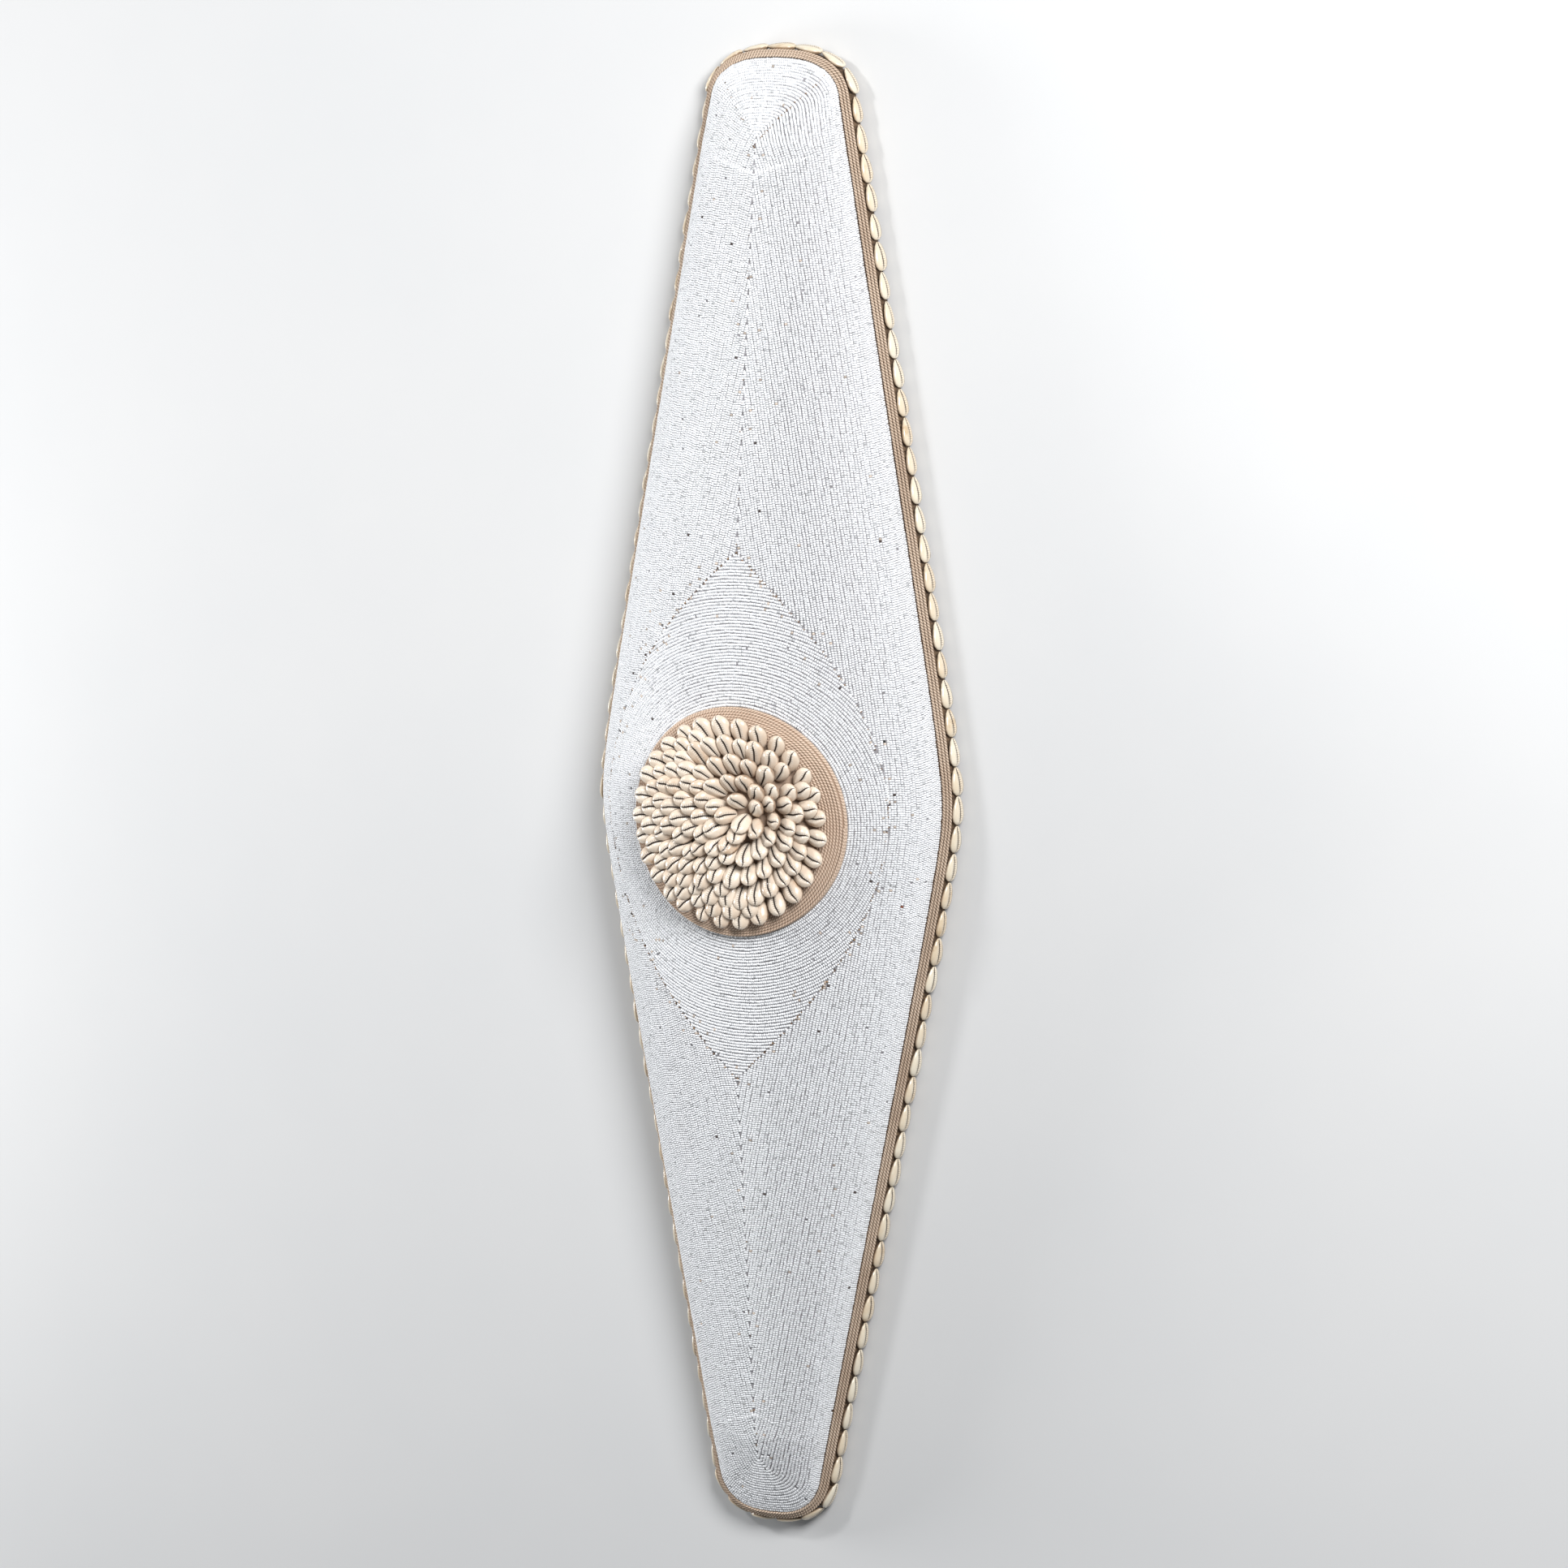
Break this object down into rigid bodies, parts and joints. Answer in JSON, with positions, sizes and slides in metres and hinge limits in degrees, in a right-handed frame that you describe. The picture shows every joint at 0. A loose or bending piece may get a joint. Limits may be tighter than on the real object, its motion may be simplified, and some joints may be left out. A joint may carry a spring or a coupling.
{
  "type": "beaded shield",
  "caption": "Long six-sided domed shield covered in white seed beads, edged with cord and cowrie shells, with a shell-covered round boss.",
  "frame": {"origin": "middle of the length and width, on the plane of the back rim that the shield lies on", "axes": "+Z out of the beaded face, +Y along the shield towards its wider end, +X to the right as seen from the front"},
  "size_m": [0.2828, 1.0539, 0.1204],
  "materials": {
    "board": "dark brown carved board, its side wall wrapped in coarse fibre",
    "beads": "opaque white glass seed beads sewn in rows, glossy, with brown thread showing at the seams",
    "jute": "twisted tan jute cord, dry and matte",
    "cowrie": "natural cowrie shell, glossy, warm cream with brown tints and dark toothed slits"
  },
  "bodies": {
    "root": {"board": "board", "bead_field": "beads", "bead_eye": "beads", "edge_cord_inner": "jute", "edge_cord_middle": "jute", "edge_cord_outer": "jute", "boss_disc": "jute", "edge_cowries_top_end": "cowrie", "edge_cowries_upper_left": "cowrie", "edge_cowries_upper_right": "cowrie", "edge_cowries_lower_left": "cowrie", "edge_cowries_lower_right": "cowrie", "edge_cowries_bottom_end": "cowrie", "boss_cowries": "cowrie"}
  },
  "joints": []
}
